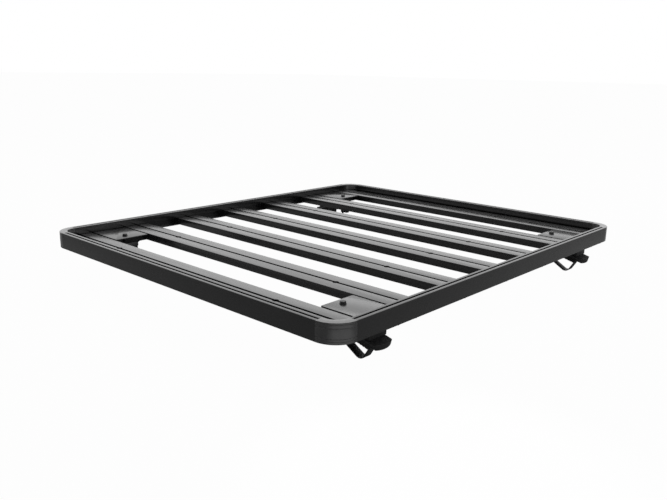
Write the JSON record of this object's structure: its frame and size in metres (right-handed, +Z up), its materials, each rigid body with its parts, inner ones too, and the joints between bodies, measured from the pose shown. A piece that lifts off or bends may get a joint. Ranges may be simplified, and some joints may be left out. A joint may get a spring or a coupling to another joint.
{
  "type": "flat platform roof rack",
  "caption": "Flat platform roof rack with a slotted rim, cast corners, T-slot slats and strap feet for raised roof rails.",
  "frame": {"origin": "on the floor under the platform's middle, where the lowest points of the four strap loops stand", "axes": "+X along the slats to the vehicle's right, +Y along the vehicle to the rear, +Z up"},
  "size_m": [1.1666, 1.358, 0.132],
  "materials": {
    "satin_black_deck": "satin black powder coat on aluminium",
    "satin_black_rim": "satin black powder coat on aluminium",
    "cast_black_corner": "satin black powder coat on a fine cast surface",
    "black_foot_casting": "matt black coat on cast aluminium",
    "black_strap_steel": "semi-gloss black coat on steel band",
    "pad_rubber": "matt black rubber",
    "black_bolt_steel": "black zinc-plated steel"
  },
  "bodies": {
    "root": {"front_rail": "satin_black_rim", "rear_rail": "satin_black_rim", "left_rail": "satin_black_rim", "right_rail": "satin_black_rim", "corner_front_left": "cast_black_corner", "corner_front_right": "cast_black_corner", "corner_rear_left": "cast_black_corner", "corner_rear_right": "cast_black_corner", "slat_1": "satin_black_deck", "slat_2": "satin_black_deck", "slat_3": "satin_black_deck", "slat_4": "satin_black_deck", "slat_5": "satin_black_deck", "slat_6": "satin_black_deck", "slat_7": "satin_black_deck", "plate_front_left": "satin_black_deck", "plate_front_right": "satin_black_deck", "plate_rear_left": "satin_black_deck", "plate_rear_right": "satin_black_deck", "riser_front_left": "black_foot_casting", "riser_front_right": "black_foot_casting", "riser_rear_left": "black_foot_casting", "riser_rear_right": "black_foot_casting", "saddle_front_left": "black_foot_casting", "saddle_front_right": "black_foot_casting", "saddle_rear_left": "black_foot_casting", "saddle_rear_right": "black_foot_casting", "strap_front_left": "black_strap_steel", "strap_front_right": "black_strap_steel", "strap_rear_left": "black_strap_steel", "strap_rear_right": "black_strap_steel", "foot_bolt_front_left": "black_bolt_steel", "foot_bolt_front_right": "black_bolt_steel", "foot_bolt_rear_left": "black_bolt_steel", "foot_bolt_rear_right": "black_bolt_steel", "foot_nuts": "black_bolt_steel", "saddle_pads_left": "pad_rubber", "saddle_pads_right": "pad_rubber", "rim_bolts_left": "black_bolt_steel", "rim_bolts_right": "black_bolt_steel", "rim_nuts_left": "black_bolt_steel", "rim_nuts_right": "black_bolt_steel"}
  },
  "joints": []
}
